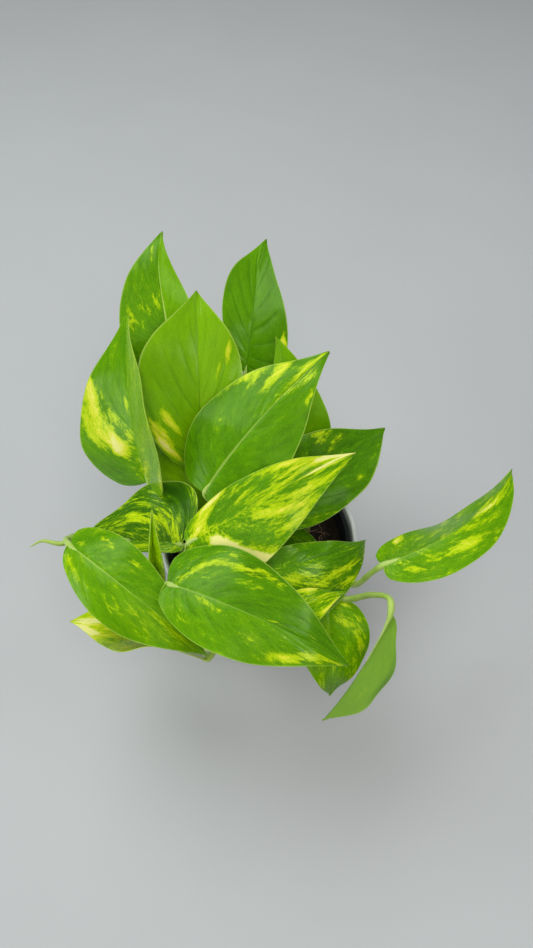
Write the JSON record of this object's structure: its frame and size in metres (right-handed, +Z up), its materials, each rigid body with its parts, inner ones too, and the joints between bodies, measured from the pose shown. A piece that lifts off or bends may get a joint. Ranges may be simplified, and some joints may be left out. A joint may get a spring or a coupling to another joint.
{
  "type": "potted golden pothos",
  "caption": "Young golden pothos: heart-shaped green leaves marbled with yellow and cream on short trailing vines, in a plain white tapered cover pot with a black nursery pot and soil inside.",
  "frame": {"origin": "middle of the cover pot's flat underside, on the surface that the pot stands on", "axes": "+Z up through the middle of the pot; +Y away from the front, towards the tall leaves at the back; +X to the right as seen from the front"},
  "size_m": [0.2719, 0.2819, 0.2002],
  "materials": {
    "glazed_white": "gloss",
    "black_plastic": "satin",
    "potting_soil": "matte",
    "green_stem": "satin",
    "variegated_leaf": "satin"
  },
  "bodies": {
    "root": {"pot": "glazed_white", "nursery_pot": "black_plastic", "soil": "potting_soil", "vine_1_stem": "green_stem", "vine_2_stem": "green_stem", "vine_3_stem": "green_stem", "vine_4_stem": "green_stem", "vine_5_stem": "green_stem", "vine_6_stem": "green_stem", "vine_1_leaf_1": "variegated_leaf", "vine_1_leaf_2": "variegated_leaf", "vine_1_leaf_3": "variegated_leaf", "vine_2_leaf_1": "variegated_leaf", "vine_2_leaf_2": "variegated_leaf", "vine_2_leaf_3": "variegated_leaf", "vine_3_leaf_1": "variegated_leaf", "vine_3_leaf_2": "variegated_leaf", "vine_3_leaf_3": "variegated_leaf", "vine_3_leaf_4": "variegated_leaf", "vine_3_leaf_5": "variegated_leaf", "vine_4_leaf_1": "variegated_leaf", "vine_4_leaf_2": "variegated_leaf", "vine_5_leaf_1": "variegated_leaf", "vine_5_leaf_2": "variegated_leaf", "vine_5_leaf_3": "variegated_leaf", "vine_5_leaf_4": "variegated_leaf", "vine_5_leaf_5": "variegated_leaf", "vine_5_leaf_6": "variegated_leaf", "vine_6_leaf_1": "variegated_leaf", "vine_6_leaf_2": "variegated_leaf"}
  },
  "joints": []
}
